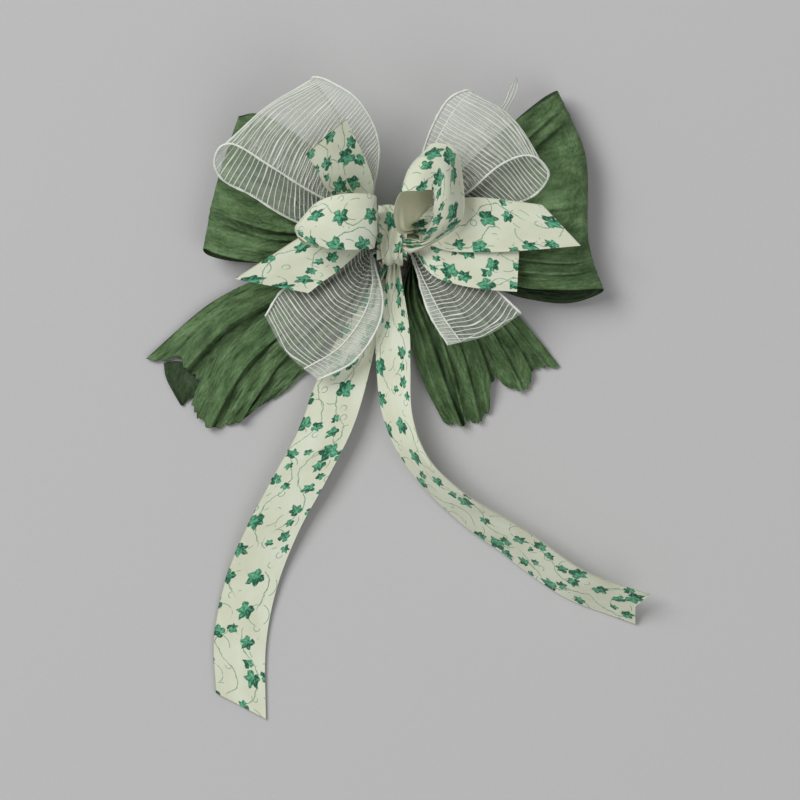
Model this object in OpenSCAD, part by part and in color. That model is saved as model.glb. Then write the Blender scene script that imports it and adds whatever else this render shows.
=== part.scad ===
// A ready-made gift bow of three ribbons, lying on its back: a wide crinkled paper ribbon at the back,
// a sheer ribbon in the middle and a printed cotton ribbon in front, pinched together inside a band.
// +Z is the front of the bow, +Y its top, and the origin is on the band's flat back, behind the knot.

/* [Ribbons] */
// Thickness of the paper ribbon with its crinkles
paper_t = 0.8; // [0.5:0.1:1]
// Thickness of the sheer ribbon
sheer_t = 0.6; // [0.4:0.1:0.8]
// Thickness of the printed cotton ribbon
cotton_t = 0.7; // [0.4:0.1:0.8]
// Steps between two stations along a ribbon
steps_along = 3; // [2:1:4]
// Steps between two lines across a ribbon
steps_across = 3; // [2:1:4]

/* [Knot] */
// Width of the centre band, across the knot
band_w = 12; // [9:0.5:12]
// Thickness of the gathered centre band
band_t = 1.4; // [1:0.1:1.6]
// Length of the gathered ribbons held in the knot
waist_len = 16; // [15:0.5:16]
// Height of the gathered ribbons, from the top to the bottom of the knot
waist_h = 23; // [20:0.5:23]
// Depth of the gathered paper ribbon
paper_waist_d = 10; // [8:0.5:10]
// Depth of the gathered sheer ribbon
sheer_waist_d = 8; // [6:0.5:8]
// Depth of the gathered cotton ribbon
cotton_waist_d = 10.4; // [8:0.2:10.4]

/* [Tie wire] */
// Thickness of the tie wire
wire_d = 1; // [0.8:0.1:1.2]
// Length of each free wire leg
leg_len = 42; // [20:1:60]
// Angle of each wire leg from the middle line of the bow
leg_spread = 17; // [12:1:22]

/* [Hidden] */
paper_colour = "#5a8252";
sheer_colour = "#e9ece6";
cotton_colour = "#dcdabf";
wire_colour = "#5b4a3a";
waist_y = -2;
band_x = -0.8;
gap = 0.1;
waist_z = band_t + wire_d + gap;
waist_d = paper_waist_d + sheer_waist_d + cotton_waist_d;
wire_z = 0.9;
twist_d = 1.6 * wire_d;
twist_drop = 3;
twist_len = 9;
wire_x = waist_len / 2 - wire_d / 2 - 0.4;

// Catmull-Rom value at u along a list of points, numbered from 0
function spline(list, u) =
    let (
        last = len(list) - 1,
        i = min(floor(u), last - 1),
        t = u - i,
        p1 = list[i],
        p2 = list[i + 1],
        p0 = i > 0 ? list[i - 1] : 2 * p1 - p2,
        p3 = i + 2 <= last ? list[i + 2] : 2 * p2 - p1
    )
    p1 + (p2 - p0) * t / 2 + (2 * p0 - 5 * p1 + 4 * p2 - p3) * t * t / 2
    + (3 * p1 - p0 - 3 * p2 + p3) * t * t * t / 2;

// Middle surface of a ribbon through its rails, as rows of points across it
function cloth(rails, rows, cols) = [
    for (i = [0:rows])
        let (line = [for (rail = rails) spline(rail, i * (len(rail) - 1) / rows)])
        [for (j = [0:cols]) spline(line, j * (len(line) - 1) / cols)]
];

function unit(v) = v / norm(v);

// Direction square to the middle surface at one of its points
function face_normal(grid, i, j) =
    let (
        along = grid[min(i + 1, len(grid) - 1)][j] - grid[max(i - 1, 0)][j],
        across = grid[i][min(j + 1, len(grid[i]) - 1)] - grid[i][max(j - 1, 0)]
    )
    unit(cross(along, across));

// A ribbon through its rails: lists of stations from the knot outwards, one for each line along the ribbon
module ribbon(rails, thickness) {
    rows = (len(rails[0]) - 1) * steps_along;
    cols = (len(rails) - 1) * steps_across;
    grid = cloth(rails, rows, cols);
    count = (rows + 1) * (cols + 1);
    points = [
        for (side = [1, -1], i = [0:rows], j = [0:cols])
            grid[i][j] + side * thickness / 2 * face_normal(grid, i, j)
    ];
    function front(i, j) = i * (cols + 1) + j;
    function back(i, j) = count + front(i, j);
    faces = concat(
        [for (i = [0:rows - 1], j = [0:cols - 1]) [front(i, j), front(i + 1, j + 1), front(i + 1, j)]],
        [for (i = [0:rows - 1], j = [0:cols - 1]) [front(i, j), front(i, j + 1), front(i + 1, j + 1)]],
        [for (i = [0:rows - 1], j = [0:cols - 1]) [back(i, j), back(i + 1, j), back(i + 1, j + 1)]],
        [for (i = [0:rows - 1], j = [0:cols - 1]) [back(i, j), back(i + 1, j + 1), back(i, j + 1)]],
        [for (i = [0:rows - 1], j = [0, cols]) j == 0
            ? [front(i, j), front(i + 1, j), back(i + 1, j)]
            : [front(i, j), back(i + 1, j), front(i + 1, j)]],
        [for (i = [0:rows - 1], j = [0, cols]) j == 0
            ? [front(i, j), back(i + 1, j), back(i, j)]
            : [front(i, j), back(i, j), back(i + 1, j)]],
        [for (j = [0:cols - 1], i = [0, rows]) i == 0
            ? [front(i, j), back(i, j + 1), front(i, j + 1)]
            : [front(i, j), front(i, j + 1), back(i, j + 1)]],
        [for (j = [0:cols - 1], i = [0, rows]) i == 0
            ? [front(i, j), back(i, j), back(i, j + 1)]
            : [front(i, j), back(i, j + 1), back(i, j)]]
    );
    polyhedron(points, faces);
}

// Part of the stack of gathered ribbons in the knot
module waist(z, depth) {
    translate([-waist_len / 2, waist_y - waist_h / 2, z])
        cube([waist_len, waist_h, depth]);
}

module paper_waist() {
    color(paper_colour) waist(waist_z, paper_waist_d);
}

module sheer_waist() {
    color(sheer_colour) waist(waist_z + paper_waist_d, sheer_waist_d);
}

module cotton_waist() {
    color(cotton_colour) waist(waist_z + paper_waist_d + sheer_waist_d, cotton_waist_d);
}

// Rectangle round the stack of ribbons in the YZ plane, grown by a margin and given length along X
module round_waist(margin, x, length) {
    translate([x - length / 2, waist_y, waist_z + waist_d / 2])
        rotate([90, 0, 90])
            linear_extrude(length)
                square([waist_h + 2 * margin, waist_d + 2 * margin], center = true);
}

module centre_band() {
    inner = wire_d + gap;
    color(cotton_colour) difference() {
        round_waist(inner + band_t, band_x, band_w);
        round_waist(inner, band_x, band_w + 2);
    }
}

// The wire goes round the stack beside the band, and its twist lies under the knot at the back
module tie_wire() {
    foot_y = waist_y - waist_h / 2 - wire_d / 2;
    color(wire_colour) {
        difference() {
            round_waist(wire_d, wire_x, wire_d);
            round_waist(0, wire_x, wire_d + 2);
        }
        translate([wire_x, foot_y, waist_z + 1])
            rotate([90, 0, 0])
                cylinder(d = wire_d, h = twist_drop, $fn = 24);
        translate([wire_x - twist_len, foot_y - twist_drop, waist_z + 1])
            rotate([0, 90, 0])
                cylinder(d = twist_d, h = twist_len + wire_d / 2, $fn = 24);
    }
}

module wire_leg(x, side) {
    color(wire_colour)
        translate([x, -20.4, wire_z])
            rotate([90, 0, side * leg_spread])
                cylinder(d = wire_d, h = leg_len, $fn = 24);
}

module wire_leg_left() {
    wire_leg(-2, -1);
}

module wire_leg_right() {
    wire_leg(4, 1);
}

// Each loop's rails run from the knot out along its back layer and home along its front layer.

module paper_loop_left() {
    low = [[-9.5, -5, 6], [-30, -10, 5.4], [-54, -14, 4.8], [-73, -13.5, 4.8], [-84, -11, 9],
        [-86, -8, 16], [-74, -9.5, 22], [-54, -10, 21], [-30, -8, 16], [-9.5, -4, 11]];
    fold = [[-9.5, 0, 6], [-30, 9, 3], [-54, 17, 1.8], [-70, 21, 3], [-78, 23, 9],
        [-79, 23, 16], [-70, 21, 22], [-53, 16, 21.5], [-30, 9, 16.5], [-9.5, 1, 11]];
    high = [[-9.5, 5, 6], [-27, 30, 3], [-46, 46, 2], [-61, 54, 3], [-69, 53, 9],
        [-69, 52, 16], [-61, 53, 21], [-45, 45, 20.5], [-27, 29, 16], [-9.5, 6, 11]];
    color(paper_colour) ribbon([low, fold, high], paper_t);
}

module paper_loop_right() {
    low = [[9.5, -5, 6], [30, -17, 5.4], [55, -29, 4.8], [78, -33, 4.8], [92, -30, 9],
        [96, -26.5, 16], [79, -27, 20], [56, -25, 19], [30, -14, 15], [9.5, -5, 11]];
    lower_fold = [[9.5, -1.5, 6], [30, -4, 4], [56, -7, 2.5], [79, -8, 3], [88, -6, 9],
        [89.5, -5, 16], [79, -7, 21.5], [56, -6, 20.5], [30, -3, 16], [9.5, -1.5, 11]];
    upper_fold = [[9.5, 2, 6], [30, 12, 3], [55, 23, 1.8], [76, 32, 3], [86.5, 35, 9],
        [87.5, 34, 16], [77, 31, 22], [55, 22, 21.5], [30, 12, 16.5], [9.5, 2.5, 11]];
    high = [[9.5, 5, 6], [30, 25, 3], [51, 46, 2], [66, 59, 3], [74, 64, 9],
        [75, 63, 16], [66, 57, 21], [50, 45, 20.5], [30, 26, 16], [9.5, 6, 11]];
    color(paper_colour) ribbon([low, lower_fold, upper_fold, high], paper_t);
}

module paper_tail_left() {
    high = [[-9.5, -6, 4], [-30, -13, 3.2], [-59, -21, 2.4], [-85, -34, 2], [-115, -60, 1.5]];
    fold = [[-9.7, -10, 4], [-28, -28, 6], [-50, -44, 5.5], [-70, -63, 4], [-85, -91, 1.6]];
    low = [[-9.5, -14, 4], [-17, -30, 4.5], [-27, -46, 4], [-38, -62, 3], [-54, -78, 1.6]];
    color(paper_colour) ribbon([high, fold, low], paper_t);
}

module paper_tail_right() {
    low = [[9.5, -14, 4], [9, -32, 4.5], [10, -50, 4.5], [15, -70, 3], [25, -90, 1.6]];
    fold = [[9.7, -10, 4], [22, -28, 6.3], [33, -45, 5.5], [40, -62, 4], [46, -86, 1.6]];
    high = [[9.5, -6, 4], [31, -18, 3.2], [52, -33, 2.4], [66, -48, 2], [78, -63, 1.5]];
    color(paper_colour) ribbon([low, fold, high], paper_t);
}

module sheer_loop_left() {
    near = [[-9.5, 2, 16.5], [-28, 0, 21], [-46, 5, 25], [-64, 16, 28], [-77, 23, 32],
        [-80, 32, 37], [-73, 39, 42], [-55, 29, 40], [-34, 16, 31], [-9.5, 5, 19.5]];
    crown = [[-9.7, 4, 16.5], [-22, 11, 20.5], [-34, 21, 24], [-47, 34, 27], [-58, 46, 31],
        [-61, 52, 38], [-53, 55, 44.5], [-36, 46, 45], [-20, 29, 33.5], [-9.7, 8, 19.5]];
    far = [[-9.5, 7, 16.5], [-14, 22, 20.5], [-19, 38, 24], [-25, 53, 28], [-33, 64.5, 33],
        [-36, 69, 38], [-28, 67, 43], [-14, 57, 43], [-6, 38, 33], [-9.5, 11, 19.5]];
    color(sheer_colour) ribbon([near, crown, far], sheer_t);
}

module sheer_loop_right() {
    near = [[9.5, 1, 16.5], [26, 3, 20.5], [42, 8, 23], [56, 12, 25.5], [66, 17, 30],
        [71, 26, 36], [63, 33.5, 41], [50, 30, 38], [32, 16, 27], [9.5, 5, 19.5]];
    crown = [[9.7, 3, 16.5], [21, 14, 20.5], [31, 24, 24], [42, 35, 27], [51, 43, 31],
        [56, 49, 37], [50, 52, 42], [38, 42, 42], [23, 27, 31], [9.7, 8, 19.5]];
    far = [[9.5, 6, 16.5], [13, 22, 20.5], [18, 36, 24], [25, 49, 28], [32, 59, 33],
        [37, 62, 38], [33, 63, 42], [24, 57, 42], [15, 38, 33], [9.5, 11, 19.5]];
    color(sheer_colour) ribbon([near, crown, far], sheer_t);
}

module sheer_tail_left() {
    high = [[-9.5, -4, 14], [-22, -13, 17.5], [-38, -21, 19], [-50, -27, 19], [-58, -39, 18]];
    fold = [[-9.7, -8, 14], [-15, -23, 19.5], [-25, -35, 22], [-36, -45, 22], [-49, -55, 19]];
    low = [[-9.5, -12, 14], [-5, -26, 19], [-6, -42, 19], [-17, -59, 19], [-34, -68, 18]];
    color(sheer_colour) ribbon([high, fold, low], sheer_t);
}

module sheer_tail_right() {
    low = [[9.5, -12, 14], [13, -25, 18.5], [18, -39, 19], [26, -52, 18]];
    fold = [[9.7, -8, 14], [20, -21, 20], [31, -34, 22.5], [43, -48, 21]];
    high = [[9.5, -4, 14], [27, -12, 19.5], [43, -23, 23.5], [59, -38, 23.5]];
    color(sheer_colour) ribbon([low, fold, high], sheer_t);
}

module sheer_end() {
    left = [[9.5, 7, 14], [28, 31, 18.5], [42, 48, 22.5], [50, 57, 25], [53, 64, 26], [56, 70, 27]];
    right = [[9.8, 5, 14], [30.5, 28, 18.5], [45, 45, 22.5], [53.5, 56, 25], [57.6, 64.5, 26], [57, 70, 27]];
    color(sheer_colour) ribbon([left, right], sheer_t);
}

module cotton_loop_left() {
    low = [[-9.5, -4, 27], [-20, -8, 31], [-32, -8, 35], [-40, -6, 39], [-42.5, -3, 44],
        [-38, -6, 49], [-28, -9, 51], [-17, -9.3, 50], [-8.5, -8.8, 44.5], [-7.9, -6.5, 38],
        [-9.5, -4, 32]];
    fold = [[-9.7, 0, 27], [-20, 2, 31], [-32, 3, 35], [-41, 2, 39], [-43.5, 1, 44],
        [-40, 3, 50], [-29, 4, 53], [-17, 4, 52.5], [-7.6, 3.5, 47], [-7.2, 3, 39],
        [-9.7, 1.5, 32]];
    high = [[-9.5, 4, 27], [-17, 12, 31], [-27, 14, 35], [-35, 11, 39], [-39.5, 6, 44],
        [-34, 12, 49], [-25, 15.5, 51], [-15, 16.3, 50], [-7.7, 15.3, 44.5], [-7.8, 11, 38],
        [-9.5, 7, 32]];
    color(cotton_colour) ribbon([low, fold, high], cotton_t);
}

module cotton_loop_right() {
    inner = [[9.7, -1, 31.2], [3.2, -1.5, 39], [0.8, 6.4, 44], [2, 13, 48.5], [4.9, 16.7, 51.5],
        [12, 17.2, 53.5], [18.7, 17, 52], [18.5, 8, 49], [16, 0, 43], [13.5, -4, 37],
        [9.5, -4, 32.5]];
    fold = [[10, 2.5, 29.6], [8.6, 2.5, 35], [9, 9, 37.5], [8.5, 19, 42], [8, 28, 48.5],
        [14.5, 29.5, 55.5], [24, 27, 54], [26, 14, 50], [24.5, 2.5, 44.5], [17.5, -4.5, 36.5],
        [9.6, -7, 32]];
    outer = [[9.8, 6, 27.8], [14, 7, 31], [18, 12, 32.5], [18.5, 24, 36], [16, 35.5, 41],
        [19, 39, 46.5], [29, 36, 46], [32.4, 20, 43], [31.5, 4.5, 39], [21.5, -4.5, 34.5],
        [9.5, -10, 31.5]];
    color(cotton_colour) ribbon([inner, fold, outer], cotton_t);
}

module cotton_tail_upper_left() {
    left = [[-9.5, 6, 24.5], [-20, 12, 30], [-30, 19, 37], [-34, 27, 43], [-39, 34, 48]];
    ridge = [[-9.6, 8, 24.8], [-15.5, 17, 32], [-22, 26, 40.5], [-26, 35, 47], [-29, 43, 52]];
    right = [[-9.5, 10.5, 24.5], [-8.5, 21, 30.5], [-11.5, 31, 38], [-16.5, 41, 45.5], [-21, 50, 51]];
    color(cotton_colour) ribbon([left, ridge, right], cotton_t);
}

module cotton_tail_left() {
    high = [[-9.5, 3, 22.5], [-24, 5, 27], [-40, -2, 29], [-56, -12, 28], [-72, -22, 26]];
    low = [[-9.5, -5, 22.5], [-16, -11, 25.5], [-24, -18, 27], [-31, -23, 27], [-38, -28.5, 26]];
    color(cotton_colour) ribbon([high, low], cotton_t);
}

module cotton_tail_right() {
    low = [[9.5, -2, 24.8], [24, -9, 29.5], [44, -10, 31.5], [64, -9, 31.5], [86, -7, 30]];
    high = [[9.5, 5, 24.8], [22, 13, 30], [38, 15, 32.5], [54, 13.5, 33], [68.5, 11.5, 33]];
    color(cotton_colour) ribbon([low, high], cotton_t);
}

module cotton_tail_lower_right() {
    low = [[9.5, -9, 22.5], [18, -20, 26.5], [29, -24.5, 28], [43, -27, 28.5], [57, -28, 27.5]];
    high = [[9.5, -2, 22.5], [20, -4, 26.5], [34, -3, 28.5], [46, -4.5, 29], [58, -9, 28.5]];
    color(cotton_colour) ribbon([low, high], cotton_t);
}

module long_tail_left() {
    left = [[-6, -19, 10.5], [-20, -40, 9.5], [-34, -67, 9.5], [-43, -91, 9.5], [-55, -113, 8.5],
        [-68, -138, 5.5], [-77, -161, 2.5], [-82, -187, 1.4], [-81, -212, 1.2]];
    right = [[0, -19, 10.5], [-5, -40, 9.5], [-11, -67, 9.5], [-18, -90, 9.5], [-30, -114, 8.5],
        [-43, -138, 5.5], [-53, -164, 2.5], [-58, -191, 1.4], [-58, -224, 1.2]];
    color(cotton_colour) ribbon([left, right], cotton_t);
}

module long_tail_right() {
    outer = [[-2, -19, 14.5], [-7, -45, 13.5], [-7, -64, 13], [-4, -85, 12], [6, -106, 10.5],
        [24, -127, 6], [50, -147, 3], [80, -168, 1.5], [112, -180, 1.2]];
    inner = [[4, -19, 14.5], [8, -45, 14.5], [8.5, -63, 15.5], [9.5, -85, 19], [17, -104, 22],
        [33, -120, 23], [61, -137, 21], [89, -156, 18.5], [118, -166, 17]];
    color(cotton_colour) ribbon([outer, inner], cotton_t);
}

paper_waist();
sheer_waist();
cotton_waist();
centre_band();
tie_wire();
wire_leg_left();
wire_leg_right();
paper_loop_left();
paper_loop_right();
paper_tail_left();
paper_tail_right();
sheer_loop_left();
sheer_loop_right();
sheer_tail_left();
sheer_tail_right();
sheer_end();
cotton_loop_left();
cotton_loop_right();
cotton_tail_upper_left();
cotton_tail_left();
cotton_tail_right();
cotton_tail_lower_right();
long_tail_left();
long_tail_right();
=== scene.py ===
"""Ready-made gift bow of crinkled paper, sheer and printed cotton ribbon, lying on its back.

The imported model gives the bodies. Every ribbon is lofted again here, with its pleats, creases, cut
ends and threads, and takes the place of the plain CAD solid. Its rails are those of the CAD solid,
except for a few edges that are moved so that the ribbons clear one another.
"""

import math

import bpy
import numpy as np
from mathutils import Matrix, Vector


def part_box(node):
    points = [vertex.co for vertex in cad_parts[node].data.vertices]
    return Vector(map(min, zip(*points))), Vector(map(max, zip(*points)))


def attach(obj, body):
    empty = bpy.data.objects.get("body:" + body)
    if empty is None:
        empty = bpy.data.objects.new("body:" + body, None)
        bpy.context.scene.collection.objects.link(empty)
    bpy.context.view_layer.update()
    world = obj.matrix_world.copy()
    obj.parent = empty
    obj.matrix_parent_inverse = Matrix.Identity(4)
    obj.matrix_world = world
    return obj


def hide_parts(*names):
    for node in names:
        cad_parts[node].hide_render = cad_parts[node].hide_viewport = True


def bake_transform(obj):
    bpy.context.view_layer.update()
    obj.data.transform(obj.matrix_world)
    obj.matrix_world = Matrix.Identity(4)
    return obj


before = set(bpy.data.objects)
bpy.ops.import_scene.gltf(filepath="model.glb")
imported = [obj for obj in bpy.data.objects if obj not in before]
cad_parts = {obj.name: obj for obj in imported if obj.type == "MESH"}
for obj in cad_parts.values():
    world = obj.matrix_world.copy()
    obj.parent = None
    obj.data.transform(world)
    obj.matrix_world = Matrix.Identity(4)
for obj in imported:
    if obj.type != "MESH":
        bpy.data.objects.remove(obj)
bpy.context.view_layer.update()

MM = 0.001
PAPER_WIDTH = 0.098
SHEER_WIDTH = 0.048
COTTON_WIDTH = 0.0254
CLOTH_THICKNESS = 0.0003
WIRE_RADIUS = 0.0005

# middle of the knot seen from its side, and how far out a root has to be to leave it sideways
KNOT_Y = -0.002
KNOT_Z = 0.0167
SIDE_ROOT = 0.008

# least height of any point of cloth above the floor
LOWEST = 0.0004


def rgb(red, green, blue):
    """Linear colour from 8-bit sRGB values."""
    values = [v / 255 for v in (red, green, blue)]
    return tuple(v / 12.92 if v <= 0.04045 else ((v + 0.055) / 1.055) ** 2.4 for v in values) + (1,)


# ---------------------------------------------------------------- shapes


def spline(points, at):
    """Catmull-Rom curve through points, along their first axis, at places from 0 to len - 1."""
    points = np.asarray(points, float)
    padded = np.concatenate([2 * points[:1] - points[1:2], points, 2 * points[-1:] - points[-2:-1]])
    at = np.asarray(at, float)
    first = np.clip(at.astype(int), 0, len(points) - 2)
    t = (at - first).reshape(-1, *[1] * (points.ndim - 1))
    p0, p1, p2, p3 = (padded[first + k] for k in range(4))
    linear = (p2 - p0) * t
    square = (2 * p0 - 5 * p1 + 4 * p2 - p3) * t * t
    cube = (3 * p1 - p0 - 3 * p2 + p3) * t**3
    return p1 + (linear + square + cube) / 2


def lengths(line):
    """Running length along a line of points."""
    steps = np.linalg.norm(np.diff(line, axis=0), axis=1)
    return np.concatenate([[0], np.cumsum(steps)])


def middle_run(grid):
    """Running length along the middle column of a grid."""
    return lengths(grid[:, grid.shape[1] // 2])


def unit(vectors):
    """Vectors scaled to length 1."""
    return vectors / np.maximum(np.linalg.norm(vectors, axis=-1, keepdims=True), 1e-12)


def rise(value, start, end):
    """0 below start, 1 above end, and smooth between them."""
    t = np.clip((value - start) / (end - start), 0, 1)
    return t * t * (3 - 2 * t)


def noise(x, y, seed):
    """Smooth random field from -1 to 1, with one random value at each whole number of x and y."""
    table = np.random.default_rng(seed).uniform(-1, 1, (64, 64))
    x0, y0 = np.floor(x).astype(int), np.floor(y).astype(int)
    tx, ty = rise(x - x0, 0, 1), rise(y - y0, 0, 1)
    corner = [[table[(x0 + i) % 64, (y0 + j) % 64] for j in (0, 1)] for i in (0, 1)]
    low = corner[0][0] * (1 - ty) + corner[0][1] * ty
    high = corner[1][0] * (1 - ty) + corner[1][1] * ty
    return low * (1 - tx) + high * tx


def normals(grid):
    """Direction square to a grid of points, at each of them."""
    along = np.gradient(grid, axis=0)
    across = np.gradient(grid, axis=1)
    return unit(np.cross(along, across))


def loft(rails, cell, across):
    """Even grid of points through the rails, with rows along the ribbon and columns across it."""
    rails = np.asarray(rails, float)
    stations = rails.transpose(1, 0, 2)
    fine = np.linspace(0, len(stations) - 1, 600)
    width = len(rails) - 1
    middle = spline(stations, fine)
    middle = np.array([spline(row, [width / 2])[0] for row in middle])
    run = lengths(middle)
    rows = max(8, int(run[-1] / cell))
    at = np.interp(np.linspace(0, run[-1], rows + 1), run, fine)
    lines = spline(stations, at).transpose(1, 0, 2)
    places = np.linspace(0, width, across + 1)
    return spline(lines, places).transpose(1, 0, 2)


def mesh_object(name, points, faces, uvs=None, parts=None, materials=()):
    """Smooth mesh. uvs has one pair for each point, and parts one material number for each face."""
    mesh = bpy.data.meshes.new(name)
    mesh.from_pydata(np.asarray(points).tolist(), [], faces if isinstance(faces, list) else faces.tolist())
    mesh.polygons.foreach_set("use_smooth", np.ones(len(mesh.polygons), bool))
    if uvs is not None:
        layer = mesh.uv_layers.new(name="UVMap")
        corners = np.empty(len(mesh.loops), int)
        mesh.loops.foreach_get("vertex_index", corners)
        layer.data.foreach_set("uv", np.asarray(uvs, float)[corners].ravel())
    for shade in materials:
        mesh.materials.append(shade)
    if parts is not None:
        mesh.polygons.foreach_set("material_index", np.asarray(parts, int))
    mesh.update()
    obj = bpy.data.objects.new(name, mesh)
    bpy.context.collection.objects.link(obj)
    return obj


def grid_faces(rows, columns, first=0, flip=False, closed=False):
    """Faces of a grid of points, which is joined round its columns if closed."""
    span = columns if closed else columns - 1
    i, j = np.meshgrid(np.arange(rows - 1), np.arange(span), indexing="ij")
    k = (j + 1) % columns
    corners = [i * columns + j, i * columns + k, (i + 1) * columns + k, (i + 1) * columns + j]
    faces = np.stack([c.ravel() for c in corners], axis=1) + first
    return faces if flip else faces[:, ::-1]


def rim_points(rows, columns):
    """Point numbers round the edge of a grid, in order."""
    top = list(range(columns))
    right = [i * columns + columns - 1 for i in range(1, rows)]
    bottom = [(rows - 1) * columns + j for j in range(columns - 2, -1, -1)]
    left = [i * columns for i in range(rows - 2, 0, -1)]
    return np.array(top + right + bottom + left)


def turned_over(grid, up):
    """Whether a grid's faces have to be turned over to look along up."""
    return np.mean(np.sum(normals(grid) * up, axis=2)) > 0


def leaf_of_cloth(name, grid, up, uvs, materials):
    """Closed thin mesh: the grid moved out along up for the face, moved back for the reverse, and a rim."""
    rows, columns = grid.shape[:2]
    count = rows * columns
    face = (grid + up * CLOTH_THICKNESS / 2).reshape(-1, 3)
    reverse = (grid - up * CLOTH_THICKNESS / 2).reshape(-1, 3)
    edge = rim_points(rows, columns)
    after = np.roll(edge, -1)
    side = np.stack([edge, edge + count, after + count, after], axis=1)
    flip = turned_over(grid, up)
    front = grid_faces(rows, columns, 0, flip)
    back = grid_faces(rows, columns, count, not flip)
    if flip:
        side = side[:, ::-1]
    faces = np.concatenate([front, back, side])
    parts = [0] * len(front) + [1] * len(back) + [1] * len(side)
    both = np.concatenate([uvs.reshape(-1, 2)] * 2)
    return mesh_object(name, np.concatenate([face, reverse]), faces, both, parts, materials)


def tube_mesh(paths, radii, sides=6):
    """Points, faces and lengthwise places of round tubes along several paths."""
    points, faces, places = [], [], []
    first = 0
    for path, radius in zip(paths, radii):
        path = np.asarray(path, float)
        ahead = unit(np.gradient(path, axis=0))
        helper = np.array([0, 0, 1.0]) if abs(ahead[:, 2]).max() < 0.9 else np.array([1.0, 0, 0])
        if abs(ahead @ helper).max() > 0.98:
            helper = np.array([0, 1.0, 0])
        one = unit(np.cross(ahead, helper))
        two = np.cross(ahead, one)
        size = np.broadcast_to(radius, len(path))[:, None, None]
        turn = np.linspace(0, 2 * math.pi, sides, endpoint=False)
        ring = one[:, None] * np.cos(turn)[None, :, None] + two[:, None] * np.sin(turn)[None, :, None]
        tube = path[:, None] + ring * size
        points.append(tube.reshape(-1, 3))
        body = grid_faces(len(path), sides, first, True, True)
        faces += body.tolist()
        last = first + (len(path) - 1) * sides
        faces.append([first + k for k in range(sides)][::-1])
        faces.append([last + k for k in range(sides)])
        run = lengths(path)
        places.append(np.stack([np.repeat(run, sides), np.tile(turn * 0.001, len(path))], axis=1))
        first += len(path) * sides
    return np.concatenate(points), faces, np.concatenate(places)


def tubes(name, paths, radii, shade, sides=6):
    """One object of round tubes along several paths."""
    points, faces, places = tube_mesh(paths, radii, sides)
    return mesh_object(name, points, faces, places, None, [shade])


# ---------------------------------------------------------------- materials


class Shading:
    """Adds nodes to one node tree, with short calls for maths and mixing."""

    def __init__(self, tree):
        self.tree = tree

    def add(self, kind, inputs=None, **settings):
        node = self.tree.nodes.new(kind)
        for key, value in settings.items():
            setattr(node, key, value)
        for key, value in (inputs or {}).items():
            self.put(node.inputs[key], value)
        return node

    def put(self, socket, value):
        if isinstance(value, bpy.types.NodeSocket):
            self.tree.links.new(value, socket)
        else:
            socket.default_value = value

    def math(self, operation, *values):
        node = self.add("ShaderNodeMath", operation=operation)
        for socket, value in zip(node.inputs, values):
            self.put(socket, value)
        return node.outputs[0]

    def vector(self, operation, *values):
        node = self.add("ShaderNodeVectorMath", operation=operation)
        for socket, value in zip(node.inputs, values):
            self.put(socket, value)
        return node.outputs["Value" if operation == "DISTANCE" else "Vector"]

    def turned(self, vector, angle):
        """Vector turned by an angle in the plane of the ribbon."""
        node = self.add("ShaderNodeVectorRotate", {"Vector": vector, "Angle": angle})
        node.rotation_type = "Z_AXIS"
        return node.outputs[0]

    def share(self, value, low, high):
        """0 at low, 1 at high, and held there beyond."""
        node = self.add("ShaderNodeMapRange", {"Value": value, "From Min": low, "From Max": high})
        return node.outputs["Result"]

    def fade(self, value, low, high):
        """1 at low, 0 at high, and held there beyond."""
        return self.math("SUBTRACT", 1.0, self.share(value, low, high))

    def mix(self, factor, one, two):
        node = self.add("ShaderNodeMix", data_type="RGBA")
        self.put(node.inputs["Factor"], factor)
        self.put(node.inputs[6], one)
        self.put(node.inputs[7], two)
        return node.outputs[2]

    def noise(self, where, scale, detail=2.0, roughness=0.5):
        inputs = {"Vector": where, "Scale": scale, "Detail": detail, "Roughness": roughness}
        return self.add("ShaderNodeTexNoise", inputs).outputs["Fac"]

    def stretched(self, where, along, across):
        """Place with its two directions scaled apart, so that a pattern runs along the ribbon."""
        return self.vector("MULTIPLY", where, (along, across, 1))

    def curve(self, value, points):
        """Value read off a curve through the points, which has a corner where a point is marked."""
        node = self.add("ShaderNodeFloatCurve", {"Value": value})
        line = node.mapping.curves[0]
        for point in points[2:]:
            line.points.new(point[0], point[1])
        for spot, (x, y, corner) in zip(line.points, points):
            spot.location = (x, y)
            spot.handle_type = "VECTOR" if corner else "AUTO"
        node.mapping.update()
        return node.outputs["Value"]

    def crevice_shade(self, reach, darkest):
        """Share of painted shade in deep folds: 0 in the open, 1 where the piece's own surface closes round
        a point.
        """
        inputs = {"Distance": reach}
        node = self.add("ShaderNodeAmbientOcclusion", inputs, samples=6, only_local=True)
        return self.fade(node.outputs["AO"], darkest, 0.95)

    def bump(self, height, strength, distance):
        inputs = {"Height": height, "Strength": strength, "Distance": distance}
        return self.add("ShaderNodeBump", inputs).outputs["Normal"]


def material(name, build, *settings):
    """Material whose nodes build(shading, shader, *settings) makes round one Principled shader."""
    made = bpy.data.materials.new(name)
    made.use_nodes = True
    shader = made.node_tree.nodes["Principled BSDF"]
    build(Shading(made.node_tree), shader, *settings)
    return made


def flat_place(s):
    """Place on the flat ribbon in millimetres, along it and across it."""
    uv = s.add("ShaderNodeTexCoord").outputs["UV"]
    return s.stretched(uv, 1000, 1000)


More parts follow.
